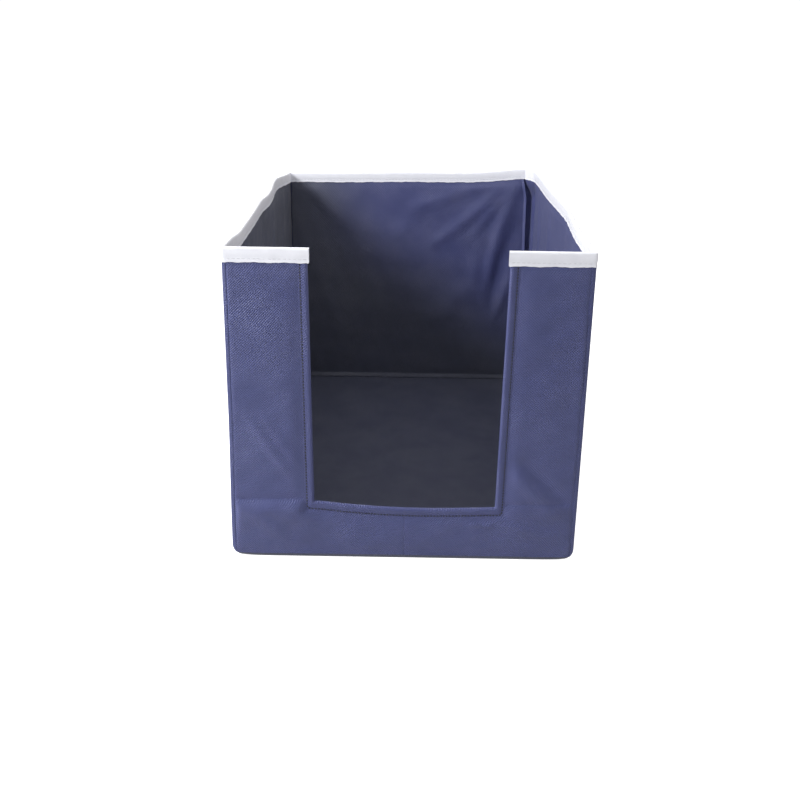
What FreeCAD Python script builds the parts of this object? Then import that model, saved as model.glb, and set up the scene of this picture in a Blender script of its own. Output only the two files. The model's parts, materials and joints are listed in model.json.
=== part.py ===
"""Collapsible open-front storage bin: stiffened cloth walls, taped rim, loose base board.

Frame: origin at the centre of the footprint on the floor, +Z up, the open front faces -Y.
The bin folds flat sideways: front and back wall each bend inward on an upright centre crease
while the right side comes to the left one. The walls are split into rigid panels there.
Lengths are in millimetres.
"""

import FreeCAD, Part
import os

# ---- overall size ----
bin_width = 270.0
bin_depth = 400.0
bin_height = 250.0

# ---- cloth, board and tape ----
cloth = 0.5             # outer cloth, lining and base cloth
wall_board = 1.6        # cardboard in the walls
tape_cloth = 0.4        # white rim tape and the hem strips, one layer
tape_height = 11.0      # how far the rim tape comes down each face
tape_overhang = 1.0     # rim tape past the edge of the opening
board_inset = 2.0       # wall board back from the edges of its cloth pocket

# ---- folding ----
stack_clearance = 0.3   # between one folded wall and the next
hinge_gap = 0.3         # each panel stops this far short of a fold line

# ---- front wall ----
opening_width_top = 146.0
opening_width_sill = 141.0
sill_height = 46.0
crease_height = 44.0    # crossways crease between post board and sill board
crease_gap = 2.0
hem_width = 6.5
hem_cloth_gap = 0.2     # hem strip stops this far under the rim tape

# ---- stitching ----
thread_width = 0.5
thread_proud = 0.15
tape_stitch_inset = 2.5     # above the lower edge of the rim tape
hem_stitch_inset = 0.8      # inside the edge of the hem strip

# ---- base ----
tray_height = 3.1       # turned-up edge of the base cloth
tray_radius = 2.5
wall_lift = 0.3         # walls start this far above the turned-up edge
board_play = 1.0        # base board to wall slots, all round
base_board = 1.6
cover_cloth = 0.2
base_board_lift = 0.1   # air under the loose base board
base_board_corner = 4.0

# ---- places that follow from those sizes ----
stack = 2 * cloth + wall_board
skin_at = stack_clearance / 2 + thread_proud + tape_cloth
wall_slot = stack + 2 * skin_at             # depth each wall takes up, from the bin's outer face inwards
board_at = skin_at + cloth
lining_at = board_at + wall_board
tape_at = skin_at - tape_cloth
tape_end_at = wall_slot - tape_at
wall_bottom = tray_height + wall_lift
cloth_top = bin_height - tape_cloth
tape_bottom = bin_height - tape_height
fold_line = bin_width / 2
half_start = wall_slot + hinge_gap          # a front or back half starts here, at its side wall
half_end = fold_line - hinge_gap

PARTS = "parts"


def save(name, solids):
    """Writes one sub-part: one solid, or several that share a node."""
    shape = solids[0] if len(solids) == 1 else Part.makeCompound(solids)
    if not all(solid.isValid() and solid.Volume > 0 for solid in solids):
        raise ValueError(name + " is not a valid solid")
    shape.exportStep(os.path.join(PARTS, name + ".step"))


def prism(outline, start, end):
    """Upright sheet in wall coordinates: outline is (along, height) points, start and end are depths."""
    points = [FreeCAD.Vector(along, start, height) for along, height in outline]
    wire = Part.makePolygon(points + points[:1])
    return Part.Face(wire).extrude(FreeCAD.Vector(0, end - start, 0))


def rectangle(low_along, low, high_along, high):
    return [(low_along, low), (high_along, low), (high_along, high), (low_along, high)]


def mirrored(outline):
    """The same outline on the other half of the front wall."""
    return [(bin_width - along, height) for along, height in outline]


# Where wall coordinates lie: the corner each wall starts from and its turn about +Z.
WALL_FRAMES = {
    "front": (-bin_width / 2, -bin_depth / 2, 0),
    "right": (bin_width / 2, -bin_depth / 2, 90),
    "back": (bin_width / 2, bin_depth / 2, 180),
    "left": (-bin_width / 2, bin_depth / 2, 270),
}


def on_wall(wall, shape):
    x, y, turn = WALL_FRAMES[wall]
    placed = shape.copy()
    placed.Placement = FreeCAD.Placement(
        FreeCAD.Vector(x, y, 0), FreeCAD.Rotation(FreeCAD.Vector(0, 0, 1), turn))
    return placed


def rim_tape(start, end):
    """White tape folded over the top edge: two legs and the strip across the top."""
    band = prism(rectangle(start, tape_bottom, end, bin_height), tape_at, tape_end_at)
    channel = prism(rectangle(start, tape_bottom, end, cloth_top), skin_at, skin_at + stack)
    return band.cut(channel).Solids


def thread_pair(outline):
    """Thread on the outer and on the inner face of a tape or hem strip."""
    outer = prism(outline, tape_at - thread_proud, tape_at)
    inner = prism(outline, tape_end_at, tape_end_at + thread_proud)
    return [outer, inner]


def rim_stitching(start, end):
    low = tape_bottom + tape_stitch_inset
    return thread_pair(rectangle(start, low, end, low + thread_width))


def wall_layers(name, wall, outline, boards):
    """Outer cloth, boards and lining of one panel. boards maps a node's ending to an outline."""
    save(name + "_outer_cloth", [on_wall(wall, prism(outline, skin_at, board_at))])
    save(name + "_lining", [on_wall(wall, prism(outline, lining_at, lining_at + cloth))])
    for ending, board_outline in boards.items():
        save(name + ending, [on_wall(wall, prism(board_outline, board_at, lining_at))])


def wall_rim(name, wall, start, end, stitch_end=None):
    save(name + "_rim_tape", [on_wall(wall, s) for s in rim_tape(start, end)])
    threads = rim_stitching(start, end if stitch_end is None else stitch_end)
    save(name + "_rim_stitching", [on_wall(wall, s) for s in threads])


def plain_wall(name, wall, start, end):
    """A rectangular panel: both sides and both halves of the back."""
    outline = rectangle(start, wall_bottom, end, cloth_top)
    board = rectangle(start + board_inset, wall_bottom + board_inset,
                      end - board_inset, cloth_top - board_inset)
    wall_layers(name, wall, outline, {"_board": board})
    wall_rim(name, wall, start, end)


def opening_edge(height):
    """Left edge of the opening at a height, in front-wall coordinates. The posts widen downwards."""
    share = (height - sill_height) / (bin_height - sill_height)
    width = opening_width_sill + share * (opening_width_top - opening_width_sill)
    return (bin_width - width) / 2


def post_strip(near, far, top):
    """Band along the upright edge of the opening, from near to far outside it, mitred at the sill."""
    edge_top = opening_edge(top)
    edge_low = opening_edge(sill_height)
    return [(edge_top - near, top), (edge_low - near, sill_height - near),
            (edge_low - far, sill_height - far), (edge_top - far, top)]


def sill_strip(near, far):
    """Band along the sill up to the centre crease, mitred where it meets the post's band."""
    edge_low = opening_edge(sill_height)
    return [(edge_low - near, sill_height - near), (half_end, sill_height - near),
            (half_end, sill_height - far), (edge_low - far, sill_height - far)]


def hem_strip(outline, panel):
    """Cloth strip folded round the edge of the opening: the band less the panel inside it."""
    return prism(outline, tape_at, tape_end_at).cut(panel).Solids


def front_half(name, turned):
    """Post and half the sill. turned carries an outline from the left half to this one."""
    panel_outline = turned([
        (half_start, wall_bottom), (half_end, wall_bottom), (half_end, sill_height),
        (opening_edge(sill_height), sill_height), (opening_edge(cloth_top), cloth_top),
        (half_start, cloth_top)])
    post_board_low = crease_height + crease_gap / 2
    post_board_top = cloth_top - board_inset
    post_board = turned([
        (half_start + board_inset, post_board_low),
        (opening_edge(post_board_low) - board_inset, post_board_low),
        (opening_edge(post_board_top) - board_inset, post_board_top),
        (half_start + board_inset, post_board_top)])
    sill_board = turned(rectangle(half_start + board_inset, wall_bottom + board_inset,
                                  half_end - board_inset, crease_height - crease_gap / 2))
    wall_layers(name, "front", panel_outline,
                {"_post_board": post_board, "_sill_board": sill_board})

    panel = prism(panel_outline, skin_at, skin_at + stack)
    hem_top = tape_bottom - hem_cloth_gap
    post_hem = turned(post_strip(-tape_cloth, hem_width, hem_top))
    sill_hem = turned(sill_strip(-tape_cloth, hem_width))
    save(name + "_post_hem", [on_wall("front", s) for s in hem_strip(post_hem, panel)])
    save(name + "_sill_hem", [on_wall("front", s) for s in hem_strip(sill_hem, panel)])

    thread_far = hem_width - hem_stitch_inset
    thread_near = thread_far - thread_width
    post_thread = turned(post_strip(thread_near, thread_far, hem_top))
    sill_thread = turned(sill_strip(thread_near, thread_far))
    save(name + "_post_stitching", [on_wall("front", s) for s in thread_pair(post_thread)])
    save(name + "_sill_stitching", [on_wall("front", s) for s in thread_pair(sill_thread)])

    tape_stop = opening_edge(tape_bottom) + tape_cloth + tape_overhang
    stitch_stop = opening_edge(tape_bottom)
    tape = turned([(half_start, 0), (tape_stop, 0), (stitch_stop, 0)])
    start, stop, last_stitch = [along for along, _ in tape]
    if start < stop:
        wall_rim(name, "front", start, stop, last_stitch)
    else:
        save(name + "_rim_tape", [on_wall("front", s) for s in rim_tape(stop, start)])
        save(name + "_rim_stitching",
             [on_wall("front", s) for s in rim_stitching(last_stitch, start)])


def rounded_box(half_x, half_y, low, high, radius, round_bottom):
    """Box with rounded upright corners, and a rounded bottom edge if asked."""
    box = Part.makeBox(2 * half_x, 2 * half_y, high - low, FreeCAD.Vector(-half_x, -half_y, low))
    edges = []
    middle = (low + high) / 2
    for edge in box.Edges:
        upright = edge.BoundBox.ZMin < middle < edge.BoundBox.ZMax
        at_bottom = edge.BoundBox.ZMax < middle
        if upright or (round_bottom and at_bottom):
            edges.append(edge)
    return box.makeFillet(radius, edges)


def base_tray():
    """Base cloth with its edge turned up to the walls all round."""
    outer = rounded_box(bin_width / 2, bin_depth / 2, 0, tray_height, tray_radius, True)
    inner = rounded_box(bin_width / 2 - cloth, bin_depth / 2 - cloth, cloth,
                        tray_height + tray_radius, tray_radius - cloth, True)
    save("base_cloth_tray", [outer.cut(inner).Solids[0]])


def base_insert():
    """Loose stiff board in its own cloth cover."""
    half_x = bin_width / 2 - wall_slot - board_play
    half_y = bin_depth / 2 - wall_slot - board_play
    low = cloth + base_board_lift
    board = rounded_box(half_x - cover_cloth, half_y - cover_cloth, low + cover_cloth,
                        low + cover_cloth + base_board, base_board_corner - cover_cloth, False)
    cover = rounded_box(half_x, half_y, low, low + base_board + 2 * cover_cloth,
                        base_board_corner, False)
    save("base_board", [board])
    save("base_board_cover", cover.cut(board).Solids)


def main():
    os.makedirs(PARTS, exist_ok=True)
    base_tray()
    base_insert()
    plain_wall("left_side", "left", 0, bin_depth)
    plain_wall("right_side", "right", 0, bin_depth)
    plain_wall("back_right", "back", half_start, half_end)
    plain_wall("back_left", "back", bin_width - half_end, bin_width - half_start)
    front_half("front_left", list)
    front_half("front_right", mirrored)


main()
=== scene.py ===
import json
import math

import bmesh
import bpy
import numpy as np
from mathutils import Matrix, Vector


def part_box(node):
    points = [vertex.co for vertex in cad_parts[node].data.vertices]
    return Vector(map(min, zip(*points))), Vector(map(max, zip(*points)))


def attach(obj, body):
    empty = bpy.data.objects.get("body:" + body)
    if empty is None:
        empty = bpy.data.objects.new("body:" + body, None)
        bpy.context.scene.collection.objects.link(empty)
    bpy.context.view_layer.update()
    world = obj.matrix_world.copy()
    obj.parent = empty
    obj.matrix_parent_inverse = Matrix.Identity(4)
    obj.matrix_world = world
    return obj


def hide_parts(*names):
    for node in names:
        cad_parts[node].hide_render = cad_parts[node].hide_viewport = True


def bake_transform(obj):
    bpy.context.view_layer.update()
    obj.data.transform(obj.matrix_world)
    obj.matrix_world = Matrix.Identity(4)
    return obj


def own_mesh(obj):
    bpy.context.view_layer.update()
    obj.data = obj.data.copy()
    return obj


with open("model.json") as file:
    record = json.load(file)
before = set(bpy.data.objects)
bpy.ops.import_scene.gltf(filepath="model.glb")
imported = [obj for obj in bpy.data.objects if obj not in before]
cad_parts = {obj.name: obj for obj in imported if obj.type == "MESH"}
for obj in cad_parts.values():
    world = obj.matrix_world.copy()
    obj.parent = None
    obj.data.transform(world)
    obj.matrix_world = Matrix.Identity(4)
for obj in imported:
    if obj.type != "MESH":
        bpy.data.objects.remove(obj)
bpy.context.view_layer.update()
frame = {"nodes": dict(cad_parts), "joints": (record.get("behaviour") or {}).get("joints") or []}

MM = 0.001


# ---- sizes, from the frame

def low(node, axis):
    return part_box(node)[0][axis]


def high(node, axis):
    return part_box(node)[1][axis]


X, Y, Z = 0, 1, 2
SIDES = (("left", -1), ("right", 1))
ENDS = (("front", -1), ("back", 1))
WAY_OUT = {"front": (0, -1, 0), "back": (0, 1, 0), "left": (-1, 0, 0), "right": (1, 0, 0)}
BOW_SHARE = {"front": 0, "back": 0, "left": 1, "right": 1}       # a wall's part in the side walls' bow
HALF_WIDTH = high("base_cloth_tray", X)
HALF_DEPTH = high("base_cloth_tray", Y)
RIM = high("left_side_rim_tape", Z)
TAPE_LOW = low("left_side_rim_tape", Z)
CLOTH_LOW = high("base_cloth_tray", Z) + 0.05 * MM     # the walls' cloth meets the base cloth
CLOTH_TOP = high("left_side_outer_cloth", Z)

# Depths are measured inwards from the outer face that the base cloth gives.
TAPE = low("left_side_rim_tape", X) + HALF_WIDTH
SKIN = low("left_side_outer_cloth", X) + HALF_WIDTH
BOARD = low("left_side_board", X) + HALF_WIDTH
BOARD_BACK = high("left_side_board", X) + HALF_WIDTH
LINING = high("left_side_lining", X) + HALF_WIDTH
TAPE_BACK = high("left_side_rim_tape", X) + HALF_WIDTH
CLOTH = BOARD - SKIN
TAPE_CLOTH = SKIN - TAPE

fold_places = [joint["pos_m"] for joint in frame["joints"] if joint["name"] == "front_left_fold"]
HINGE_X, HINGE_Y = (abs(fold_places[0][axis]) for axis in (X, Y))
SLOT = HALF_WIDTH - HINGE_X                     # depth each folded wall takes up
HALF_START = -low("back_left_outer_cloth", X)   # a front or back half starts this far from the middle
CREASE = 0.05 * MM                              # and ends here, at the upright crease

SILL = high("front_left_sill_hem", Z) - TAPE_CLOTH
HEM = SILL - low("front_left_sill_hem", Z)
HEM_TOP = high("front_left_post_hem", Z)
EDGE_AT_SILL = TAPE_CLOTH - high("front_left_post_hem", X)
EDGE_AT_TOP = -low("front_left_post_hem", X) - HEM
CROSS_CREASE = (high("front_left_sill_board", Z) + low("front_left_post_board", Z)) / 2

CELL = 2.6 * MM             # mesh size on the walls
HEM_GROOVE = 5.3 * MM       # hem stitching, from the edge of the opening
SILL_HEM = 1.15             # the sill's hem is turned over this much more
RIM_GROOVE = 2.7 * MM       # rim stitching, above the lower edge of the tape
FOOT_ROWS = 12 * MM         # up to this height the cloth's mesh is finer
BOARD_GAP = 0.38 * MM       # the most that cloth can sink in before it lies on its board
HEM_SINK = 0.45 * MM        # how much deeper the cloth lies where the hem is stitched over it


# ---- how the real one has settled

def smooth(edge_from, edge_to, value):
    share = np.clip((value - edge_from) / (edge_to - edge_from), 0, 1)
    return share * share * (3 - 2 * share)


def curve_through(knots, value):
    """Smooth line through (place, amount) knots, both in millimetres."""
    places = np.array([k[0] for k in knots], float) * MM
    amounts = np.array([k[1] for k in knots], float) * MM
    slopes = np.gradient(amounts, places)
    value = np.clip(value, places[0], places[-1])
    span = np.clip(np.searchsorted(places, value) - 1, 0, len(places) - 2)
    width = places[span + 1] - places[span]
    t = (value - places[span]) / width
    level = amounts[span] + (amounts[span + 1] - amounts[span]) * t * t * (3 - 2 * t)
    return level + t * (1 - t) * width * ((1 - t) * slopes[span] - t * slopes[span + 1])


# Lists of (place, amount) in mm. How far each side wall's rim stands out, from front corner to back.
LEFT_BOW = [(-200, 0), (-60, 0), (-10, 1.2), (35, 0.4), (60, 1.2), (85, 3.2), (105, 4.4), (127, 4.8),
            (154, 3.4), (183, 0.6), (200, 0)]
RIGHT_BOW = [(-200, 0), (-150, 1.5), (-115, 2.6), (-90, 4.2), (-60, 6.6), (-30, 8.8), (10, 9.2), (70, 8.8),
             (130, 9.2), (165, 8.8), (181, 7.8), (190, 4.2), (195.5, 0.8), (200, 0.0)]
CORNER_FULLNESS = 8.5 * MM       # how far the back right corner is pushed out between foot and rim
# How far the back's rim is off level, from left to right, and the left side's from front to back.
BACK_RISE = [(-135, -4.8), (-121, -4.4), (-80, -4.2), (-40, -3.3), (0, -2.4), (54, -2.0), (81, -1.2),
             (95, 0.0), (108, 1.2), (121, 2.8), (135, 3.2)]
LEFT_RISE = [(-200, 0), (-165, -0.6), (-138, -2.8), (-110, -2.2), (-80, -1.4), (-45, -0.6), (-10, 0),
             (36, -0.9), (60, 0), (200, 0)]
# How far the front's edge at the sill has sagged or risen, from left to right.
SILL_SAG = [(-135, 0), (-105, 0.8), (-71, 3.0), (-45, 0.5), (-15, -1.5), (15, -2.2), (45, -1.6), (71, -0.6),
            (105, 0), (135, 0)]
FOOT_STAND = 1.3 * MM            # the left side stands out a little at its foot
CORNER_RADIUS = 10 * MM          # lower corners seen from the front, where no board fills the cloth
CORNER_RADIUS_DEEP = 4 * MM      # the same corners seen from the side
EDGE_RADIUS = 1.8 * MM           # lower edges between the corners
CORNER_REACH = 15 * MM           # how far from a corner its own roundness shows
SOFT_BAND = 16 * MM              # how far in from a face the rounding reaches


def bow(x, y, z):
    """Outward stand of the side walls: the left one leans out, the right one is full from half way up."""
    left = curve_through(LEFT_BOW, y) * np.clip(z / RIM, 0, 1) ** 1.6
    right = curve_through(RIGHT_BOW, y) * smooth(0, 0.7 * RIM, z)
    full = smooth(0, 0.5 * RIM, z) * (1 - smooth(0.87 * RIM, 0.957 * RIM, z))
    right = right + CORNER_FULLNESS * full * smooth(160 * MM, 190 * MM, y)
    return np.where(x < 0, left, right)


def settle(points, share=0.0):
    """Moves points of the straight-sided bin to where the real, slack one has them. The side walls share
    fully in their bow, the front wall doesn't, and the corners change from one to the other."""
    p = np.array(points, float)
    x, y, z = p.T.copy()
    p[:, X] += np.sign(x) * bow(x, y, z) * share
    rise = curve_through(BACK_RISE, x) * smooth(90 * MM, HALF_DEPTH, y)
    rise = rise + curve_through(LEFT_RISE, y) * (x < 0) * (np.abs(y) < HALF_DEPTH)
    p[:, Z] += rise * np.clip(z / RIM, 0, 1) ** 2
    at_sill = smooth(5 * MM, SILL - 2 * MM, z) * (1 - smooth(SILL + 2 * MM, 120 * MM, z))
    p[:, Z] += curve_through(SILL_SAG, x) * at_sill * (y < -HALF_DEPTH + 8 * MM)
    at_foot = (1 - smooth(10 * MM, 130 * MM, z)) * smooth(HALF_WIDTH - 40 * MM, HALF_WIDTH, -x)
    p[:, X] -= FOOT_STAND * at_foot
    from_corner = np.hypot(HALF_WIDTH - np.abs(x), HALF_DEPTH - np.abs(y))
    near_corner = np.exp(-(from_corner / CORNER_REACH) ** 2)
    for axis, most, half in ((X, CORNER_RADIUS, HALF_WIDTH), (Y, CORNER_RADIUS_DEEP, HALF_DEPTH)):
        place = p[:, axis].copy()
        radius = EDGE_RADIUS + (most - EDGE_RADIUS) * near_corner
        drop = np.clip(radius - z, 0, radius)
        inset = radius - np.sqrt(np.maximum(radius ** 2 - drop ** 2, 0))
        p[:, axis] -= np.sign(place) * inset * smooth(half - SOFT_BAND, half, np.abs(place))
    return p


# ---- mesh helpers

def spot(wall, along, depth, height):
    """Points on a wall: along is X or Y of the frame, depth runs inwards from the outer face."""
    along, depth, height = (a.ravel().astype(float) for a in np.broadcast_arrays(along, depth, height))
    out = sum(WAY_OUT[wall])
    if wall in ("front", "back"):
        return np.stack([along, out * (HALF_DEPTH - depth), height], 1)
    return np.stack([out * (HALF_WIDTH - depth), along, height], 1)


def build(name, points, faces, material, smooth_angle=50):
    """Closed mesh with outward normals, smooth except across sharp folds."""
    mesh = bpy.data.meshes.new(name)
    mesh.from_pydata([tuple(p) for p in points], [], [tuple(int(i) for i in f) for f in faces])
    work = bmesh.new()
    work.from_mesh(mesh)
    loose = [v for v in work.verts if not v.link_faces]
    bmesh.ops.delete(work, geom=loose, context="VERTS")
    bmesh.ops.recalc_face_normals(work, faces=work.faces)
    work.to_mesh(mesh)
    work.free()
    mesh.shade_smooth()
    mesh.set_sharp_from_angle(angle=math.radians(smooth_angle))
    mesh.materials.append(material)
    obj = bpy.data.objects.new(name, mesh)
    bpy.context.scene.collection.objects.link(obj)
    return obj


def grid_faces(rows, columns, keep=None):
    """Faces of a grid of points, or of the cells that keep marks."""
    cells = [r * columns + c for r in range(rows - 1) for c in range(columns - 1)
             if keep is None or keep[r, c]]
    return [(i, i + 1, i + 1 + columns, i + columns) for i in cells]


def thicken(front, back, faces):
    """Closes a sheet given its two faces, point for point."""
    count = len(front)
    seen = set()
    for face in faces:
        seen.update(zip(face, face[1:] + face[:1]))
    border = [(a, b) for a, b in seen if (b, a) not in seen]
    solid = list(faces)
    solid += [tuple(i + count for i in reversed(face)) for face in faces]
    solid += [(b, a, a + count, b + count) for a, b in sorted(border)]
    return np.vstack([front, back]), solid


def sheet_piece(name, seen, hidden, shape, material, share=0, keep=None):
    """A piece of cloth or board between two grids of points, settled as the real one has."""
    points, faces = thicken(settle(seen, share), settle(hidden, share), grid_faces(*shape, keep))
    return build(name, points, faces, material)


def tube_faces(stations, ring, base=0):
    """Faces of a ring of points carried along stations, open at both ends."""
    faces = []
    for k in range(stations - 1):
        for j in range(ring):
            a, b = base + k * ring + j, base + k * ring + (j + 1) % ring
            faces.append((a, b, b + ring, a + ring))
    return faces


def steps(start, end, size):
    """Even places from start to end, no further apart than size."""
    return np.linspace(start, end, max(2, int(math.ceil(abs(end - start) / size)) + 1))


def wall_rows(*bands):
    """Heights up a wall's cloth, closer together at the foot and in (top, size) bands above it."""
    rows = steps(CLOTH_LOW, FOOT_ROWS, 1.0 * MM)
    for top, size in bands + ((CLOTH_TOP - 0.3 * MM, CELL),):
        rows = np.concatenate([rows, steps(rows[-1], top, size)[1:]])
    return rows


def add(obj, body, stands_for=(), flat_against=None):
    """Puts a piece on its body, hides the parts it stands for, and gives a piece that lies against a plane
    its own mesh.
    """
    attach(obj, body)
    if stands_for:
        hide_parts(*stands_for)
    if flat_against:
        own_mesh(obj)
    return obj


# ---- materials

def srgb(code):
    """Linear colour of an sRGB hex value."""
    parts = [int(code[i:i + 2], 16) / 255 for i in (1, 3, 5)]
    return [p / 12.92 if p <= 0.04045 else ((p + 0.055) / 1.055) ** 2.4 for p in parts] + [1.0]


def node(tree, kind, inputs=None, **settings):
    """Adds a shader node with its settings; an input is a value, or the socket or node that feeds it."""
    made = tree.nodes.new("ShaderNode" + kind)
    for name, value in settings.items():
        setattr(made, name, value)
    for name, value in (inputs or {}).items():
        if isinstance(value, bpy.types.Node):
            value = value.outputs[0]
        if isinstance(value, bpy.types.NodeSocket):
            tree.links.new(value, made.inputs[name])
        else:
            made.inputs[name].default_value = value
    return made


def new_material(name):
    material = bpy.data.materials.new(name)
    material.use_nodes = True
    tree = material.node_tree
    tree.nodes.clear()
    return material, tree


def finish_material(material, colour, relief, strength, depth, surface):
    """Raises the surface by its relief, and gives it its colour and finish."""
    tree = material.node_tree
    bump = node(tree, "Bump", {"Height": relief, "Strength": strength, "Distance": depth})
    shader = node(tree, "BsdfPrincipled", {"Base Color": colour, "Normal": bump, **surface})
    node(tree, "OutputMaterial", {"Surface": shader})
    return material


def spunbond(name, colour, faded, shade_grey=None, lying_flat=False, emboss=1.0):
    """Spun-bond polypropylene cloth, point-bonded between heated rollers: a matte felt of fine
    fibres, pressed all over with small diamonds, that catches a soft sheen at low angles."""
    diamond = 1.4 * MM
    material, tree = new_material(name)
    place = node(tree, "TexCoord").outputs["Object"]
    apart = node(tree, "SeparateXYZ", {0: place})
    across, up = apart.outputs["X"], apart.outputs["Y"]
    if not lying_flat:
        across = node(tree, "Math", {0: across, 1: up}, operation="ADD")
        up = apart.outputs["Z"]
    waves = []
    for way in (across, up):
        turned = node(tree, "Math", {0: way, 1: math.sqrt(2) * math.pi / diamond}, operation="MULTIPLY")
        waves.append(node(tree, "Math", {0: turned}, operation="SINE"))
    diamonds = node(tree, "Math", {0: waves[0], 1: waves[1]}, operation="MULTIPLY")
    fibres = node(tree, "TexNoise", {
        "Vector": place, "Scale": 1 / (0.5 * MM), "Detail": 4.0, "Roughness": 0.6})
    clouds = node(tree, "TexNoise", {
        "Vector": place, "Scale": 1 / (38 * MM), "Detail": 3.0, "Roughness": 0.55})
    relief = node(tree, "Math", {0: diamonds, 1: fibres}, operation="ADD")
    pressed = node(tree, "MapRange", {"Value": clouds, "From Min": 0.38, "From Max": 0.62,
                                      "To Min": 0.5 * emboss, "To Max": 1.15 * emboss})
    tint = node(tree, "MapRange", {"Value": clouds, "From Min": 0.35, "From Max": 0.68})
    tinted = node(tree, "Mix", {"Factor": tint, 6: srgb(colour), 7: srgb(faded)},
                  data_type="RGBA").outputs[2]
    # Painted shade: towards the left wall, and below a line that falls to the right across the back, where
    # the left wall's shadow lies, the colour is mixed towards a greyer navy.
    if shade_grey:
        shadow_slant = node(tree, "Math", {0: apart.outputs["X"], 1: 0.6, 2: apart.outputs["Z"]},
                       operation="MULTIPLY_ADD")
        for way, in_light, in_shade in ((apart.outputs["X"], -0.02, -0.13), (shadow_slant, 0.2, 0.07)):
            shade_mask = node(tree, "MapRange", {"Value": way, "From Min": in_light, "From Max": in_shade},
                        interpolation_type="SMOOTHSTEP")
            tinted = node(tree, "Mix", {"Factor": shade_mask, 6: tinted, 7: srgb(shade_grey)},
                          data_type="RGBA").outputs[2]
    speckle = node(tree, "MapRange", {
        "Value": fibres, "From Min": 0.3, "From Max": 0.7, "To Min": 0.86, "To Max": 1.14})
    final = node(tree, "VectorMath", {0: tinted, 1: speckle}, operation="MULTIPLY")
    rough = node(tree, "MapRange", {"Value": fibres, "To Min": 0.4, "To Max": 0.56})
    return finish_material(material, final, relief, strength=pressed, depth=0.3 * MM, surface={
        "Roughness": rough, "IOR": 1.49, "Sheen Weight": 0.1, "Sheen Roughness": 0.5})


def binding_tape():
    """White non-woven binding tape: a bright, chalky felt with a faint lengthways grain."""
    material, tree = new_material("white_binding_tape")
    place = node(tree, "TexCoord").outputs["Object"]
    fibres = node(tree, "TexNoise", {
        "Vector": place, "Scale": 1 / (0.6 * MM), "Detail": 4.0, "Roughness": 0.65})
    clouds = node(tree, "TexNoise", {"Vector": place, "Scale": 1 / (9 * MM), "Detail": 3.0})
    relief = node(tree, "Math", {0: fibres, 1: clouds}, operation="ADD")
    colour = node(tree, "Mix", {"Factor": clouds, 6: srgb("#D8D9E1"), 7: srgb("#E6E7EE")},
                  data_type="RGBA").outputs[2]
    return finish_material(material, colour, relief, strength=0.5, depth=0.12 * MM, surface={
        "Roughness": 0.72, "IOR": 1.49, "Sheen Weight": 0.1})


def polyester_thread(name, colour):
    """Spun polyester sewing thread: a fine twist with a slight gloss on each ply."""
    material, tree = new_material(name)
    place = node(tree, "TexCoord").outputs["Object"]
    twist = node(tree, "TexWave", {"Vector": place, "Scale": 1 / (1.1 * MM), "Distortion": 1.5},
                 bands_direction="DIAGONAL").outputs["Fac"]
    shade = node(tree, "MapRange", {"Value": twist, "To Min": 0.75, "To Max": 1.1})
    tinted = node(tree, "VectorMath", {0: srgb(colour)[:3], 1: shade}, operation="MULTIPLY")
    return finish_material(material, tinted, twist, strength=0.6, depth=0.08 * MM, surface={
        "Roughness": 0.5, "IOR": 1.55})


def greyboard():
    """Recycled greyboard, pressed and pasted: brown-grey with flecks, dull and furry at cut edges."""
    material, tree = new_material("pasted_greyboard")
    place = node(tree, "TexCoord").outputs["Object"]
    flecks = node(tree, "TexNoise", {
        "Vector": place, "Scale": 1 / (1.8 * MM), "Detail": 6.0, "Roughness": 0.7})
    colour = node(tree, "Mix", {"Factor": flecks, 6: srgb("#6F6250"), 7: srgb("#A89A82")},
                  data_type="RGBA").outputs[2]
    return finish_material(material, colour, flecks, strength=0.4, depth=0.15 * MM, surface={
        "Roughness": 0.9, "IOR": 1.5})


NAVY = spunbond("navy_spunbond_outer", "#3A406E", "#444A7A", emboss=0.78)
# The lining's greyer navy to the left and low on the back is painted shade of the left wall's shadow.
NAVY_INSIDE = spunbond("navy_spunbond_lining", "#3F4470", "#484D79", shade_grey="#474A59", emboss=0.7)
# The base's navy is greyer than the walls' cloth: painted shade, for the greyer look of the shaded floor
# inside the bin.
NAVY_FLAT = spunbond("navy_spunbond_base", "#3E4154", "#46495B", lying_flat=True, emboss=0.6)
WHITE_TAPE = binding_tape()
WHITE_THREAD = polyester_thread("white_thread", "#D6D7DE")
# The navy thread is darker than the cloth: partly the thread's own navy, partly painted shade of the sunken
# stitch line.
NAVY_THREAD = polyester_thread("navy_thread", "#15172B")
GREYBOARD = greyboard()


# ---- folds and slackness in the cloth

def ridge(along, height, fold):
    """A soft fold that follows a bent line, given as a row of the table of folds."""
    t = np.linspace(0, 1, 33)[:, None]
    a, b, c = np.reshape(fold[:6], (3, 2)) * MM
    width, tall = fold[6:]
    line = (1 - t) ** 2 * a + 2 * t * (1 - t) * b + t * t * c
    here = np.stack([np.ravel(along), np.ravel(height)], 1)
    apart = np.sqrt(((here[:, None, :] - line[None, :, :]) ** 2).sum(2))
    nearest = apart.argmin(1)
    share = t[nearest, 0]
    taper = np.sin(np.pi * np.clip(share, 0.02, 0.98)) ** 0.7
    shape = tall * MM * np.exp(-(apart.min(1) / (width * MM)) ** 2) * taper
    return shape.reshape(np.shape(along))


def ripples(along, height, amount, seed):
    """Slack all over the cloth: a few long, faint waves that cross each other."""
    shape = 0
    for k in range(6):
        turn = seed * 1.7 + k * 1.1
        length = (19 + 13 * k) * MM
        way = along * math.cos(turn) + height * math.sin(turn)
        shape = shape + np.sin(2 * np.pi * way / length + seed * k)
    return amount * MM * shape / 4


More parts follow.
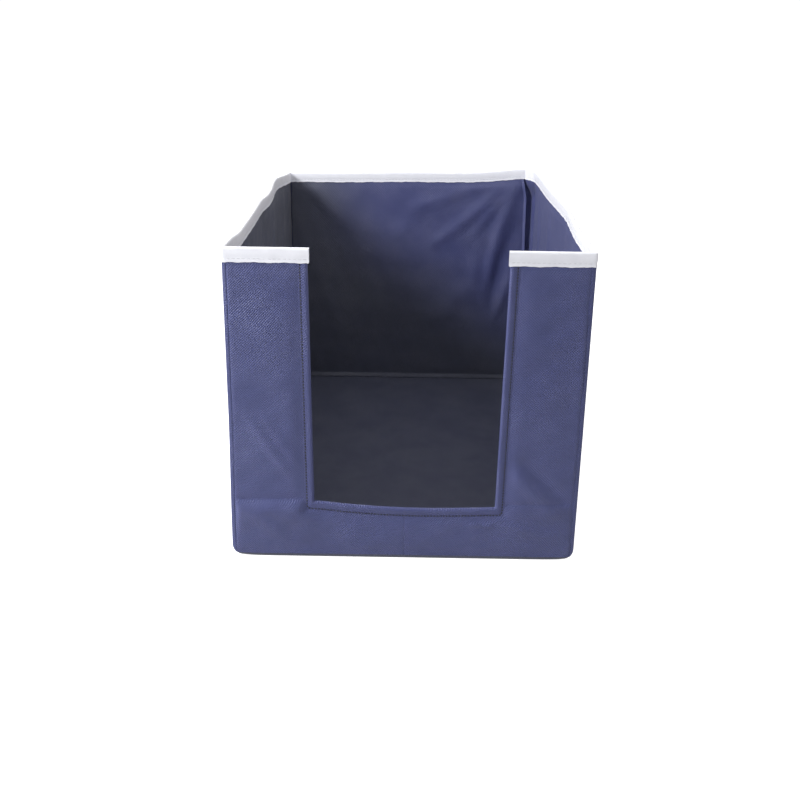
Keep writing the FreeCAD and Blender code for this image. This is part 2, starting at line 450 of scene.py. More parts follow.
# Folds by wall and face, in mm: along and height of three points that bend a line, the fold's width and
# how far it stands out. A positive amount stands out towards the side that the cloth is seen from.
FOLD_LINES = {
    ("back", "lining"): [
        (125, 240, 100, 184, 92, 100, 6.5, 2.6), (127, 196, 107, 152, 98, 92, 4.5, -1.6),
        (127, 160, 114, 112, 102, 72, 5, 2.2), (112, 236, 72, 198, 22, 160, 7, 1.7),
        (116, 244, 62, 228, -8, 204, 8, 1.2), (122, 232, 92, 204, 70, 168, 5, 1.1),
        (84, 176, 76, 140, 80, 90, 7, 0.8), (74, 128, 60, 92, 16, 66, 12, 1.1),
        (20, 225, 10, 196, -28, 160, 10, 0.9), (-112, 242, -98, 218, -66, 188, 7, 1.1),
        (-60, 150, -30, 110, -40, 60, 12, 0.9), (-100, 120, -70, 60, -80, 20, 12, 0.8)],
    ("front", "outer"): [
        (-122, 124, -104, 96, -84, 62, 3.5, 1.5), (-112, 126, -96, 100, -80, 78, 3.5, 1.1),
        (-120, 40, -104, 30, -92, 14, 5, 1.0), (-108, 46, -98, 36, -80, 30, 4, 0.7),
        (79, 80, 98, 60, 122, 38, 7.5, 2.6), (86, 88, 106, 70, 127, 50, 4.5, -1.6),
        (74, 66, 86, 52, 104, 40, 5, 0.9), (-126, 205, -112, 190, -86, 178, 6, 0.8),
        (-124, 165, -106, 150, -84, 146, 8, 0.7), (84, 190, 100, 176, 124, 180, 8, 0.7),
        (84, 150, 104, 136, 122, 140, 9, 0.8), (-60, 22, -10, 15, 50, 24, 9, 0.6),
        (76, 34, 96, 24, 122, 22, 5, 0.9), (50, 33, 55, 31, 60, 33, 1.6, 1.1),
        (61, 33, 65, 30.5, 69, 32, 1.6, 1.2)],
    ("left", "lining"): [
        (-150, 232, -100, 180, -70, 90, 10, 1.6), (-80, 236, -60, 190, -76, 120, 8, 1.3),
        (60, 240, 40, 180, 80, 100, 9, 1.6), (150, 240, 140, 180, 120, 90, 7, 1.4)],
    ("right", "lining"): [
        (172, 240, 166, 200, 170, 120, 5, 1.2), (140, 240, 128, 200, 136, 120, 7, 1.4),
        (60, 240, 70, 190, 40, 120, 9, 1.4), (-40, 236, -60, 170, -20, 80, 10, 1.4),
        (-150, 235, -140, 160, -160, 60, 8, 1.2)],
    ("left", "outer"): [
        (-178, 60, -120, 118, -50, 96, 9, 2.4), (-170, 30, -130, 60, -110, 110, 7, 1.7),
        (40, 206, 90, 140, 160, 66, 9, 2.2), (20, 190, 60, 110, 120, 40, 8, 1.7),
        (-150, 226, -60, 200, 20, 228, 8, 1.9), (90, 228, 130, 196, 180, 190, 6, 1.9)],
    ("right", "outer"): [
        (-170, 206, -120, 130, -150, 40, 9, 2.2), (-150, 222, -90, 170, -80, 90, 8, 1.7),
        (0, 60, 60, 126, 160, 100, 9, 2.0), (-40, 30, 20, 70, 120, 60, 8, 1.5),
        (50, 228, 110, 200, 180, 224, 7, 1.9), (184, 200, 160, 150, 176, 90, 6, 1.7)],
    ("back", "outer"): [
        (-116, 40, -70, 100, -40, 190, 8, 1.6), (-118, 216, -90, 180, -50, 170, 7, 1.4),
        (114, 216, 76, 150, 60, 60, 8, 1.6), (110, 60, 80, 40, 30, 50, 8, 1.3)],
}


def relief(wall, face, along, height):
    """How far cloth stands off its board, towards the side it is seen from."""
    seed = {"front": 1.3, "right": 2.1, "back": 3.4, "left": 4.6}[wall] + (0.5 if face == "lining" else 0)
    shape = ripples(along, height, 0.42, seed)
    for fold in FOLD_LINES.get((wall, face), []):
        shape = shape + ridge(along, height, fold)
    return shape


# ---- cloth panels

ROLL = [(0.0, 0.8), (0.0, 0.35), (0.25, 0.1), (0.8, 0.0)]     # (in from the edge, extra depth), in mm
CREASE_WIDTH = {"front": 1.1 * MM, "back": 1.3 * MM}          # of the groove at the upright crease


def rolled(start, end, size):
    """Places from start to end, with how much deeper the rolled-back edge at the start lies."""
    sense = 1 if end > start else -1
    places = [start + sense * a * MM for a, _ in ROLL] + list(steps(start + sense * 3 * MM, end, size))
    extra = [d * MM for _, d in ROLL] + [0.0] * (len(places) - len(ROLL))
    return np.array(places), np.array(extra)


def plane_of(wall, depth):
    """Axis and anchor of a wall's plane at a depth."""
    return WAY_OUT[wall], tuple(spot(wall, 0.0, depth, 0.1)[0])


def swell(along, height, start, end):
    """A cloth pocket stands off its board in the middle and is drawn in at its seams."""
    reach = 11 * MM
    across = 1 - np.exp(-np.minimum(np.abs(along - start), np.abs(along - end)) / reach)
    return across * (1 - np.exp(-np.maximum(height - CLOTH_LOW, 0) / reach))


def opening_edge(height):
    """Half width of the opening at a height."""
    share = (height - SILL) / (HEM_TOP - SILL)
    return EDGE_AT_SILL + share * (EDGE_AT_TOP - EDGE_AT_SILL)


def in_from_opening(along, height):
    """How far a place on the front lies from the edge of the opening."""
    return np.maximum(np.abs(along) - opening_edge(np.maximum(height, SILL)), SILL - height)


def front_grid(sign, heights, outer):
    """Places over a front half: the post's columns, then the sill's up to the middle crease."""
    post = steps(0, 1, CELL / (HALF_START - EDGE_AT_SILL))[1:]
    sill = steps(EDGE_AT_SILL, CREASE, 1.3 * MM)[1:]
    columns = len(outer) + len(post) + len(sill)
    along = np.zeros((len(heights), columns))
    for r, edge in enumerate(opening_edge(np.maximum(heights, SILL))):
        along[r] = np.concatenate([outer, outer[-1] + (edge - outer[-1]) * post, sill])
    keep = np.ones((len(heights) - 1, columns - 1), bool)
    keep[heights[:-1] >= SILL - 1e-6, len(outer) + len(post) - 1:] = False
    return sign * along, keep


def calm(wall, along, height):
    """Cloth is drawn tight at the foot, under the tape and under the hem of the opening."""
    held = smooth(CLOTH_LOW, CLOTH_LOW + 9 * MM, height)
    held = held * (1 - smooth(TAPE_LOW - 7 * MM, TAPE_LOW - 1 * MM, height))
    if wall == "front":
        held = held * smooth(HEM + 0.5 * MM, HEM + 9 * MM, in_from_opening(along, height))
    return held


def panel_depth(wall, face, along, height, extra):
    """Depth of the seen face of a panel's cloth."""
    span = HALF_DEPTH if wall in ("left", "right") else HALF_START
    puff = 0.5 * MM if face == "lining" else 0.8 * MM
    stand = relief(wall, face, along, height) + puff * swell(along, height, -span, span)
    if wall in ("front", "back") and face == "outer":
        stand = stand + 0.35 * MM * np.exp(-((np.abs(along) - HALF_START + 2.0 * MM) / (1.2 * MM)) ** 2)
    stand = stand * calm(wall, along, height)
    if wall == "front" and face == "outer":
        stand = stand + cross_crease(along, height)
    stand = np.where(stand < 0, -BOARD_GAP * np.tanh(-stand / BOARD_GAP), stand)
    if wall == "front":
        stand = stand - HEM_SINK * (1 - smooth(HEM - 1 * MM, HEM + 1.5 * MM, in_from_opening(along, height)))
    if wall == "back" and face == "lining":
        seam = 2.8 * np.exp(-((along - 129.7 * MM) / (1.0 * MM)) ** 2)
        stand = stand + seam * MM * (1 - smooth(TAPE_LOW - 5 * MM, TAPE_LOW, height))
    if face == "outer":
        return SKIN + extra - stand
    return LINING + stand


def cross_crease(along, height):
    """The upright boards end above the sill boards; below their ends the cloth springs outwards."""
    outward = (np.abs(along) - EDGE_AT_SILL) / (HALF_START - EDGE_AT_SILL)
    line = CROSS_CREASE + (3.0 + 3.6 * outward + 0.5 * np.sin(np.abs(along) / (11 * MM))) * MM
    on_post = smooth(HEM - 0.5 * MM, HEM + 3 * MM, in_from_opening(along, height))
    on_post = on_post * smooth(-8 * MM, 12 * MM, np.abs(along) - EDGE_AT_SILL)
    on_post = on_post * smooth(0, 4 * MM, HALF_START - np.abs(along))
    spring = np.where(along < 0, 3.2, 1.1) * MM
    below = line - height
    step = 1 - np.exp(-np.maximum(below, 0) / (4.5 * MM))
    step = step * np.exp(-np.maximum(below - 8 * MM, 0) / (16 * MM))
    above = -0.5 * MM * np.exp(-(np.minimum(below, 0) / (3 * MM)) ** 2) * (below < 0)
    return (spring * step + above) * on_post


def foot_slant(height):
    """Below its board the lining leans in towards the base board."""
    return 2.6 * MM * (1 - smooth(CLOTH_LOW, 8.5 * MM, height))


def flat_cloth(body, wall, face, along, height, extra, keep=None):
    """Outer cloth or lining of a flat panel, over a grid of places; extra is how rolled back it lies."""
    if face == "lining":
        depth = panel_depth(wall, face, along, height, 0) + foot_slant(height)
    else:
        depth = panel_depth(wall, face, along, height, extra)
        depth = depth + 0.3 * MM * np.exp(-(along / CREASE_WIDTH[wall]) ** 2)
    share = BOW_SHARE[wall]
    if wall == "back":
        upper = np.clip((height - 0.6 * RIM) / (0.37 * RIM), 0, 1)
        share = ((0.54 - 0.17 * upper) * smooth(100 * MM, HALF_START, along)).ravel()
    ending, material, at, thick = "lining", NAVY_INSIDE, LINING, -CLOTH
    if face == "outer":
        ending, material, at, thick = "outer_cloth", NAVY, SKIN, CLOTH
    seen, hidden = (spot(wall, along, d, height) for d in (depth, depth + thick))
    obj = sheet_piece(f"{body}_{ending}_sewn", seen, hidden, along.shape, material, share, keep)
    add(obj, body, [f"{body}_{ending}"], flat_against=plane_of(wall, at))


def wall_cloth(body, wall, face, start, end):
    """Outer cloth or lining of a rectangular panel."""
    columns, extra = rolled(start, end, CELL)
    if (wall, face) == ("back", "lining") and start > 0:
        columns = np.concatenate([start - np.arange(0, 4, 0.4) * MM, steps(start - 4 * MM, end, CELL)])
    along, height = np.meshgrid(columns, wall_rows())
    flat_cloth(body, wall, face, along, height, extra)


def front_cloth(body, sign, face):
    """Outer cloth or lining of a front half, cut out for the opening."""
    outer, outer_extra = rolled(HALF_START, HALF_START - 8 * MM, CELL)
    outer, outer_extra = outer[:len(ROLL) + 1], outer_extra[:len(ROLL) + 1]
    rows = wall_rows((SILL, 1.5 * MM), (SILL + 16 * MM, 1.4 * MM))
    along, keep = front_grid(sign, rows, outer)
    height = np.repeat(rows[:, None], along.shape[1], 1)
    extra = np.zeros(along.shape[1])
    extra[:len(outer)] = outer_extra
    flat_cloth(body, "front", face, along, height, extra, keep)


# ---- runs round the corners

WRAP_POWER = 2.7            # squareness of the cloth wrapped round the walls' ends: 2 is a circle


def squircle(turn, power):
    """Reach of a rounded square corner, as a share of its sides."""
    return 1 / (abs(math.cos(turn)) ** power + abs(math.sin(turn)) ** power) ** (1 / power)


def straight(wall, start, end, size):
    """Stations along a wall: a point on the slot's inner face, and the way out from it."""
    way = Vector(WAY_OUT[wall])
    return [(Vector(place), way) for place in spot(wall, steps(start, end, size), SLOT, 0.0)]


def corner(side, end, start_turn, end_turn, count, power):
    """Stations round an upright corner, from the side wall at 0 to the end wall at 90 degrees."""
    pivot = Vector((side * HINGE_X, end * HINGE_Y, 0))
    turns = np.radians(np.linspace(start_turn, end_turn, count))
    return [(pivot, Vector((side * math.cos(t), end * math.sin(t), 0)) * squircle(t, power)) for t in turns]


def ring_faces(stations, ring):
    """Faces of a closed section carried along stations, with both ends closed."""
    faces = tube_faces(stations, ring)
    for base in (0, (stations - 1) * ring):
        for j in range(ring // 2 - 1):
            faces.append((base + j, base + j + 1, base + ring - 2 - j, base + ring - 1 - j))
    return faces


def upright(stations, rows, depth):
    """Points of an upright cloth along stations; depth is one value, or a grid of them."""
    at, way = (np.array([station[part] for station in stations]) for part in (0, 1))
    inward = SLOT - np.broadcast_to(depth, (len(rows), len(stations)))
    points = at + way * inward[:, :, None]
    points[:, :, Z] = rows[:, None]
    return points.reshape(-1, 3)


def tape_section():
    """Folded tape: outer face up, over and down, then back along the inner face."""
    arc = 1.3 * MM
    outer = [(TAPE - 0.02 * MM, TAPE_LOW)]
    outer += [(TAPE, z) for z in steps(TAPE_LOW + 1.2 * MM, RIM - arc, 1.5 * MM)]
    for turn in np.radians([22, 45, 68, 90]):
        outer.append((TAPE + arc * (1 - math.cos(turn)), RIM - arc * (1 - math.sin(turn))))
    mirrored = [(TAPE + TAPE_BACK - d, z) for d, z in reversed(outer)]
    seen = outer + mirrored
    middle = (TAPE + TAPE_BACK) / 2
    inward = TAPE_CLOTH * 0.9
    hidden = [(d + (inward if d < middle else -inward), min(z, RIM - inward)) for d, z in reversed(seen)]
    return seen + hidden


TAPE_RING = tape_section()


def tape_piece(name, stations, share):
    """Rim tape along stations, puckered by its stitching, with a lower edge that wanders a little."""
    lengths = [0.0]
    for (a, wa), (b, wb) in zip(stations, stations[1:]):
        lengths.append(lengths[-1] + ((b + wb * SLOT) - (a + wa * SLOT)).length)
    start = stations[0][0]
    points = []
    for (origin, way), length in zip(stations, lengths):
        turn = 2 * math.pi * (length + start.x * 3.1 + start.y * 1.7)
        wander = math.sin(turn / (23 * MM)) + 0.6 * math.sin(turn / (7.3 * MM))
        for depth, height in TAPE_RING:
            up = height - TAPE_LOW
            near = math.exp(-((up - RIM_GROOVE) / (1.1 * MM)) ** 2)
            belly = 0.1 * MM * math.exp(-((up - 6.5 * MM) / (2.2 * MM)) ** 2)
            stand = belly + (0.07 * math.sin(turn / (19 * MM)) - 0.22) * MM * near
            if depth < (TAPE + TAPE_BACK) / 2:
                stand = -stand
            place = origin + way * (SLOT - depth - stand)
            points.append((place.x, place.y, height + 0.22 * MM * wander * max(0.0, 1 - up / (2 * MM))))
    faces = ring_faces(len(stations), len(TAPE_RING))
    return build(name, settle(points, share), faces, WHITE_TAPE, smooth_angle=60)


CORNER_LEG = 6 * MM         # how far a corner's tape runs along each wall
MIDDLE_LEG = 4 * MM         # and the back crease's tape each way from the middle
STRIP = 0.4 * MM            # thickness of the cloth inside the seams


def rim_tapes():
    """Rim tape on each wall, and the short lengths that turn its corners and the back crease."""
    along_y = HINGE_Y - CORNER_LEG
    along_x = HINGE_X - CORNER_LEG
    for side, sign in SIDES:
        opening = abs(low(f"front_{side}_rim_tape", X) if sign > 0 else high(f"front_{side}_rim_tape", X))
        runs = ((f"{side}_side", side, -along_y, along_y),
                (f"back_{side}", "back", sign * along_x, sign * MIDDLE_LEG),
                (f"front_{side}", "front", sign * along_x, sign * opening))
        for body, wall, start, end in runs:
            run = straight(wall, start, end, 2 * MM)
            obj = tape_piece(f"{body}_rim_tape_sewn", run, BOW_SHARE[wall])
            add(obj, body, [f"{body}_rim_tape"])
        for end, at in ENDS:
            leg_side = straight(side, at * along_y, at * (HINGE_Y - 0.2 * MM), 1.2 * MM)
            turn = corner(sign, at, 0, 90, count=13, power=4)
            leg_end = straight(end, sign * (HINGE_X - 0.2 * MM), sign * along_x, 1.2 * MM)
            shares = fading(len(leg_side), len(turn), len(leg_end), len(TAPE_RING))
            obj = tape_piece(f"{end}_{side}_corner_tape", leg_side + turn + leg_end, shares)
            bend_corner(obj)
    obj = tape_piece("back_crease_tape", straight("back", MIDDLE_LEG, -MIDDLE_LEG, 0.5 * MM), 0)
    bend_middle(obj)


def fading(full, turning, none, ring=1):
    """Shares in the side wall's bow, station by station round a corner."""
    shares = np.concatenate([np.ones(full), 1 - smooth(0, 1, np.linspace(0, 1, turning)), np.zeros(none)])
    return np.repeat(shares, ring)


def bend_corner(obj):
    """Bakes the piece's transform into its mesh."""
    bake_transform(obj)


def bend_middle(obj):
    """Bakes the piece's transform into its mesh."""
    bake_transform(obj)


def curtain(name, stations, depth, material, shares):
    """An upright strip of thin cloth along stations."""
    foot, top = CLOTH_LOW + 0.2 * MM, CLOTH_TOP - 1 * MM
    rows = np.concatenate([steps(foot, FOOT_ROWS, 1.0 * MM), steps(FOOT_ROWS, top, 4 * MM)[1:]])
    shares = np.tile(shares, len(rows))
    near, far = (upright(stations, rows, d) for d in (depth, depth + STRIP))
    return sheet_piece(name, near, far, (len(rows), len(stations)), material, shares)


def corner_strips():
    """The cloth inside each corner seam and behind the middle crease."""
    for side, sign in SIDES:
        for end, at in ENDS:
            turn = corner(sign, at, 40, 90, count=9, power=6)
            flat = straight(end, sign * (HINGE_X - 0.3 * MM), sign * (HINGE_X - 2.0 * MM), 0.5 * MM)
            shares = fading(4, len(turn) - 4, len(flat))
            obj = curtain(f"{end}_{side}_corner_seam", turn + flat, 0.92 * MM, NAVY, shares)
            bend_corner(obj)
    stations = straight("back", 2.1 * MM, -2.1 * MM, 0.3 * MM)
    obj = curtain("back_crease_cloth", stations, 2.3 * MM, NAVY_INSIDE, np.zeros(len(stations)))
    bend_middle(obj)


def side_cloths():
    """Outer cloth of each side, wrapped round the ends of its board, and the lining inside it."""
    for side, sign in SIDES:
        body = f"{side}_side"
        long_run = straight(side, -HINGE_Y + 0.3 * MM, HINGE_Y - 0.3 * MM, CELL)
        ends = corner(sign, -1, 84, 0, 12, WRAP_POWER), corner(sign, 1, 0, 84, 12, WRAP_POWER)
        stations = ends[0] + long_run + ends[1]
        along = np.array([(o + w * SLOT).y for o, w in stations])
        rows = wall_rows()
        grid_along, grid_height = np.meshgrid(along, rows)
        near_end = 1 - smooth(HALF_DEPTH - 14 * MM, HALF_DEPTH - 0.5 * MM, np.abs(grid_along))
        depth = SKIN - (SKIN - panel_depth(side, "outer", grid_along, grid_height, 0)) * near_end
        near, far = (upright(stations, rows, d) for d in (depth, depth + CLOTH))
        obj = sheet_piece(f"{body}_outer_cloth_sewn", near, far, depth.shape, NAVY, BOW_SHARE[side])
        add(obj, body, [f"{body}_outer_cloth"])
        wall_cloth(body, side, "lining", -HALF_DEPTH + 1.0 * MM, HALF_DEPTH - 1.0 * MM)


# ---- hems round the opening

def hem_stations(sign):
    """Stations round one half of the opening: (along, height) on the edge, and the way off it."""
    found = []
    radius = 1.6 * MM
    for z in steps(HEM_TOP, SILL + radius, 2 * MM):
        found.append(((sign * opening_edge(z), z), (sign, 0)))
    post_count = len(found)
    centre = (sign * (EDGE_AT_SILL - radius), SILL + radius)
    for turn in np.radians(np.linspace(0, 90, 11))[1:-1]:
        reach = squircle(turn, 7)
        way = (sign * math.cos(turn) * reach, -math.sin(turn) * reach)
        at = (centre[0] + way[0] * radius, centre[1] + way[1] * radius)
        found.append((at, (way[0], way[1] * SILL_HEM)))
        if turn < math.radians(46):
            post_count = len(found)
    for x in steps(EDGE_AT_SILL - radius, CREASE, 2 * MM):
        found.append(((sign * x, SILL), (0, -SILL_HEM)))
    return found, post_count


def hem_section():
    """Turned edge: flat by its stitching, puffed towards the fold, and the same on the inner face."""
    face = TAPE + 0.05 * MM
    outer = [(HEM + 0.5 * MM, SKIN + 0.4 * MM), (HEM, SKIN + 0.08 * MM), (HEM - 0.45 * MM, SKIN + 0.1 * MM),
             (HEM_GROOVE, SKIN + 0.38 * MM), (HEM_GROOVE - 0.7 * MM, SKIN + 0.02 * MM),
             (HEM_GROOVE - 1.6 * MM, face + 0.2 * MM), (2.6 * MM, face), (1.3 * MM, face - 0.15 * MM),
             (0.4 * MM, face + 0.15 * MM), (-0.15 * MM, face + 0.8 * MM)]
    middle = SLOT / 2
    seen = outer + [(-TAPE_CLOTH, middle)] + [(o, SLOT - d) for o, d in reversed(outer)]
    hidden = []
    for o, d in reversed(seen):
        toward = TAPE_CLOTH * 0.8
        depth = d + toward if d < middle - 0.01 * MM else d - toward if d > middle + 0.01 * MM else d
        hidden.append((max(o, toward - TAPE_CLOTH) + (toward if abs(d - middle) < 0.01 * MM else 0), depth))
    return seen + hidden


HEM_RING = hem_section()


def hem_points(stations, ring):
    """Points of a section of (off the edge, depth) pairs, carried round the opening."""
    points = [(at[0] + way[0] * offset, depth, at[1] + way[1] * offset)
              for at, way in stations for offset, depth in ring]
    return spot("front", *np.array(points).T)


def hems():
    """Turned hems of the opening, with a row of stitches on each face."""
    sunk = SKIN + 0.22 * MM         # how deep the thread lies
    for side, sign in SIDES:
        stations, split = hem_stations(sign)
        for ending, part in (("post", stations[:split]), ("sill", stations[split - 1:])):
            points, faces = settle(hem_points(part, HEM_RING)), ring_faces(len(part), len(HEM_RING))
            obj = build(f"front_{side}_{ending}_hem_turned", points, faces, NAVY)
            add(obj, f"front_{side}", [f"front_{side}_{ending}_hem"])
            for face, depth, out in (("outer", sunk, -1), ("inner", SLOT - sunk, 1)):
                line = settle(hem_points(part, [(HEM_GROOVE, depth)]))
                stands_for = [f"front_{side}_{ending}_stitching"] if face == "outer" else []
                name = f"front_{side}_{ending}_stitches_{face}"
                stitches(name, line, Vector((0, out, 0)), f"front_{side}", stands_for, NAVY_THREAD,
                         pitch=2.4 * MM, length=1.6 * MM, thick=1.15 * MM)


# ---- stitches

def stitches(name, line, normal, body, stands_for, material, pitch, length, thick):
    """A row of separate stitches, each a short thread that dives into the cloth at both ends."""
    runs = np.linalg.norm(np.diff(line, axis=0), axis=1)
    travel = np.concatenate([[0], np.cumsum(runs)])
    count = max(1, int(travel[-1] / pitch))
    sides, rings = 6, 5
    points, faces = [], []
    for k in range(count):
        middle = (k + 0.5) * travel[-1] / count
        ends = [middle - length / 2, middle + length / 2]
        tip = [np.array([np.interp(e, travel, line[:, i]) for i in range(3)]) for e in ends]
        along = Vector(tip[1] - tip[0])
        if along.length < length * 0.5:
            continue
        along.normalize()
        up = (normal - along * normal.dot(along)).normalized()
        across = along.cross(up)
        base = len(points)
        slant = 0.05 * math.sin(k * 2.3 + line[0][0] * 50)
        for r in range(rings):
            share = r / (rings - 1)
            centre = Vector(tip[0] * (1 - share) + tip[1] * share) + across * (share - 0.5) * length * slant
            arch = math.sin(math.pi * share)
            centre += up * thick * (0.26 * arch - 0.06)
            reach = thick / 2 * (0.55 + 0.45 * arch)
            for s in range(sides):
                turn = 2 * math.pi * s / sides
                points.append(centre + (across * math.cos(turn) + up * math.sin(turn) * 0.55) * reach)
        faces += tube_faces(rings, sides, base)
        faces.append(tuple(base + s for s in reversed(range(sides))))
        faces.append(tuple(base + (rings - 1) * sides + s for s in range(sides)))
    add(build(name, points, faces, material, smooth_angle=80), body, stands_for)


def rim_stitching():
    height = TAPE_LOW + RIM_GROOVE
    runs = [("left_side", "left", -HINGE_Y, HINGE_Y), ("right_side", "right", -HINGE_Y, HINGE_Y),
            ("back_left", "back", -HINGE_X, -CREASE), ("back_right", "back", CREASE, HINGE_X),
            ("front_left", "front", -HINGE_X, high("front_left_rim_tape", X) - 1 * MM),
            ("front_right", "front", low("front_right_rim_tape", X) + 1 * MM, HINGE_X)]
    for body, wall, start, end in runs:
        for face, depth, sense in (("outer", TAPE + 0.14 * MM, 1), ("inner", TAPE_BACK - 0.14 * MM, -1)):
            line = settle(spot(wall, steps(start, end, 3 * MM), depth, height), BOW_SHARE[wall])
            stands_for = [f"{body}_rim_stitching"] if face == "outer" else []
            stitches(f"{body}_rim_stitches_{face}", line, Vector(WAY_OUT[wall]) * sense, body, stands_for,
                     WHITE_THREAD, pitch=3.6 * MM, length=2.5 * MM, thick=0.5 * MM)


# ---- boards, base cloth and base board

def board(body, node, wall, outline=None):
    """A wall board as it stands in its pocket, with softened cut edges."""
    axis = Y if wall in ("left", "right") else X
    start, end = low(node, axis), high(node, axis)
    columns, rows = steps(start, end, 4 * MM), steps(low(node, Z), high(node, Z), 3 * MM)
    along, height = np.meshgrid(columns, rows)
    if outline:
        along = outline(along, height, start, end)
    soft = 0.25 * MM
    edge = np.zeros(along.shape)
    edge[[0, -1], :] = soft
    edge[:, [0, -1]] = soft
    front, back = (spot(wall, along, d, height) for d in (BOARD + edge, BOARD_BACK - edge))
    obj = sheet_piece(f"{node}_fitted", front, back, along.shape, GREYBOARD, BOW_SHARE[wall])
    add(obj, body, [node])


def post_outline(along, height, start, end):
    """Post boards follow the leaning edge of the opening."""
    sign = -1 if start < 0 else 1
    outer = max(abs(start), abs(end))
    share = (np.abs(along) - min(abs(start), abs(end))) / abs(end - start)
    inner = opening_edge(height) + 2 * MM
    return sign * (inner + (outer - inner) * share)


def boards():
    for side in ("left", "right"):
        board(f"{side}_side", f"{side}_side_board", side)
        board(f"back_{side}", f"back_{side}_board", "back")
        board(f"front_{side}", f"front_{side}_sill_board", "front")
        board(f"front_{side}", f"front_{side}_post_board", "front", post_outline)


def rounded(points):
    """Rounds the upright corners in plan, to match the cloth wrapped round the walls' ends."""
    p = np.array(points)
    for k, (x, y) in enumerate(p[:, :2]):
        dx, dy = abs(x) - HINGE_X, abs(y) - HINGE_Y
        if dx > 0 and dy > 0:
            turn = math.atan2(dy, dx)
            pull = squircle(turn, WRAP_POWER) * max(math.cos(turn), math.sin(turn))
            p[k, 0] = math.copysign(HINGE_X + dx * pull, x)
            p[k, 1] = math.copysign(HINGE_Y + dy * pull, y)
    return p


BRIM = 18 * MM              # of the base cloth, by the walls, where its mesh is finer


def turned_up(half, climb):
    """Places across the base cloth and the heights there: a turned-up edge, a fine brim, the flat middle."""
    brim = steps(0, BRIM, 1.5 * MM)
    flat = steps(BRIM - half, half - BRIM, 6 * MM)[1:-1]
    ends = np.full(len(climb) - 1, half)
    places = np.concatenate([-ends, brim - half, flat, half - brim[::-1], ends])
    return places, np.concatenate([climb, np.zeros(len(places) - 2 * len(climb)), climb[::-1]])


def base_cloth():
    """Base cloth with its edge turned up to meet the walls all round, flush with their cloth."""
    lip = high("base_cloth_tray", Z)
    climb = np.array([lip, 2.2 * MM, 1.2 * MM, 0.5 * MM, 0.0])
    across, lift_across = turned_up(HALF_WIDTH - SKIN, climb)
    along, lift_along = turned_up(HALF_DEPTH - SKIN, climb)
    grid_x, grid_y = np.meshgrid(across, along)
    lift = np.maximum(*np.meshgrid(lift_across, lift_along))
    outer = np.stack([grid_x.ravel(), grid_y.ravel(), lift.ravel()], 1)
    inner = outer * [1 - CLOTH / HALF_WIDTH, 1 - CLOTH / HALF_DEPTH, 1] + [0, 0, CLOTH]
    rim = outer[:, Z] >= lip - 1e-6
    inner[rim, Z] = outer[rim, Z]
    obj = sheet_piece("base_cloth_sewn", rounded(outer), rounded(inner), grid_x.shape, NAVY_FLAT)
    gather = ((1, 0, 0), (-HALF_WIDTH, 0, 0))
    add(obj, "left_side", ["base_cloth_tray"], flat_against=gather)


def base_insert():
    """The loose base board in its tight cloth cover."""
    half_x, half_y = high("base_board_cover", X), high("base_board_cover", Y)
    bottom, top = low("base_board_cover", Z), high("base_board_cover", Z)
    middle, half_z = (bottom + top) / 2, (top - bottom) / 2
    radius, least = 4 * MM, 0.3 * MM
    in_from_edge = [4 * MM, 9 * MM, 16 * MM]
    levels = [(inset, bottom) for inset in reversed(in_from_edge)]
    for turn in np.radians([-90, -60, -30, 0, 30, 60, 90]):
        levels.append((0.2 * half_z * (1 - math.cos(turn)), middle + half_z * math.sin(turn)))
    levels += [(inset, top) for inset in in_from_edge]
    outline = [(sx * (half_x - radius), sy * (half_y - radius), turn)
               for sx, sy, start in ((1, 1, 0), (-1, 1, 90), (-1, -1, 180), (1, -1, 270))
               for turn in np.radians(np.linspace(start, start + 90, 7))]
    points = []
    for inset, z in levels:
        reach = radius - min(inset, radius - least)
        more = max(0.0, inset - radius + least)
        for cx, cy, turn in outline:
            x = cx - math.copysign(more, cx) + reach * math.cos(turn)
            y = cy - math.copysign(more, cy) + reach * math.sin(turn)
            points.append((x, y, z))
    ring = len(outline)
    faces = tube_faces(len(levels), ring)
    faces.append(tuple(reversed(range(ring))))
    faces.append(tuple(range(len(points) - ring, len(points))))
    obj = build("base_board_cover_tight", points, faces, NAVY_FLAT)
    add(obj, "base_insert", ["base_board_cover"])
    looks = frame["nodes"]["base_board"].data.materials
    looks.clear()
    looks.append(GREYBOARD)


# ---- assembly

side_cloths()
for half, half_sign in SIDES:
    for half_face in ("outer", "lining"):
        wall_cloth(f"back_{half}", "back", half_face, half_sign * HALF_START, half_sign * CREASE)
    for half_face in ("outer", "lining"):
        front_cloth(f"front_{half}", half_sign, half_face)
rim_tapes()
corner_strips()
hems()
rim_stitching()
boards()
base_cloth()
base_insert()


# ---- floor, light and camera

def camera_ray(tree, otherwise, seen):
    """A strength for what the camera sees directly, and another for the light it gives."""
    ray = node(tree, "LightPath").outputs["Is Camera Ray"]
    return node(tree, "MapRange", {"Value": ray, "To Min": otherwise, "To Max": seen}).outputs[0]


def pale_floor():
    """A matte white sheet that fades into the backdrop."""
    material, tree = new_material("pale_floor")
    diffuse = node(tree, "BsdfDiffuse", {"Color": (0.6, 0.6, 0.6, 1)})
    glow = node(tree, "Emission", {"Color": (1, 1, 1, 1), "Strength": camera_ray(tree, 0.08, 0.95)})
    node(tree, "OutputMaterial", {"Surface": node(tree, "AddShader", {0: diffuse, 1: glow})})
    reach = 12.0
    corners = [(-reach, -reach, 0), (reach, -reach, 0), (reach, reach, 0), (-reach, reach, 0)]
    floor = build("floor", corners, [(0, 1, 2, 3)], material)
    floor.location.z = -0.2 * MM


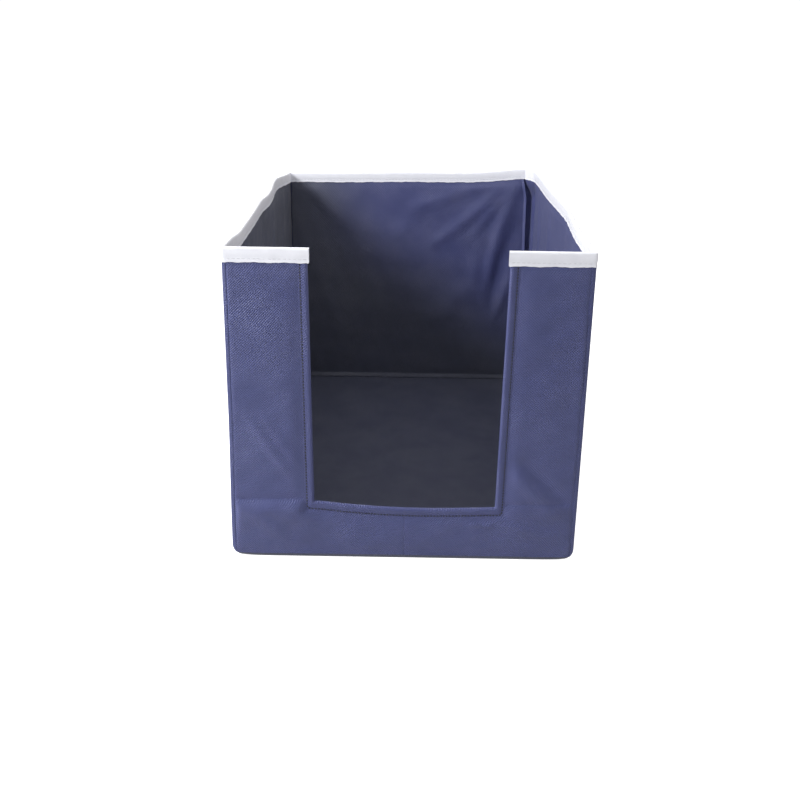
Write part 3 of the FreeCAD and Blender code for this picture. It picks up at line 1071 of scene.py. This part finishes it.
def lamp(name, place, target, size, power, colour=(1, 1, 1)):
    """A round soft box, aimed at a target."""
    light = bpy.data.lights.new(name, "AREA")
    light.shape = "DISK"
    light.size = size
    light.energy = power
    light.color = colour
    obj = bpy.data.objects.new(name, light)
    obj.location = place
    obj.rotation_euler = (Vector(target) - Vector(place)).to_track_quat("-Z", "Y").to_euler()
    bpy.context.scene.collection.objects.link(obj)


def studio():
    """A white dome, brighter overhead, over the floor, and four soft boxes."""
    scene = bpy.context.scene
    scene.view_settings.view_transform = "Standard"
    world = bpy.data.worlds.new("pale_studio")
    world.use_nodes = True
    tree = world.node_tree
    way = node(tree, "SeparateXYZ", {0: node(tree, "TexCoord").outputs["Generated"]})
    dome = node(tree, "MapRange", {"Value": way.outputs["Z"], "To Min": 0.13, "To Max": 0.82})
    background = tree.nodes["Background"]
    tree.links.new(camera_ray(tree, dome, 1.05), background.inputs["Strength"])
    background.inputs["Color"].default_value = (1, 1, 1, 1)
    scene.world = world
    pale_floor()
    lamp("key_light", (-0.95, -0.37, 0.85), (0, 0.1, 0.12), size=0.45, power=18.5)
    lamp("front_fill", (-0.75, -0.6, 0.34), (-0.1, -0.2, 0.16), size=0.25, power=1.8)
    lamp("side_fill", (0.9, -0.02, 0.8), (-0.13, -0.05, 0.2), size=0.4, power=3.7, colour=(1, 0.95, 0.86))
    lamp("top_fill", (-0.1, -0.5, 1.4), (0, 0.2, 0.05), size=0.9, power=3)


def camera():
    """The eye stands in front of the opening, a little above the rim."""
    place = Vector((-0.0052, -0.8376, 0.3968))
    tilt, roll, yaw = math.radians(90 - 17.70), math.radians(0.886), math.radians(0.05)
    data = bpy.data.cameras.new("camera")
    data.sensor_width = 36
    data.lens = 41.4
    data.shift_y = -0.0926
    data.clip_start = 0.01
    obj = bpy.data.objects.new("camera", data)
    turn = Matrix.Rotation(yaw, 4, "Z") @ Matrix.Rotation(tilt, 4, "X") @ Matrix.Rotation(roll, 4, "Z")
    obj.matrix_world = Matrix.Translation(place) @ turn
    bpy.context.scene.collection.objects.link(obj)
    bpy.context.scene.camera = obj


studio()
camera()
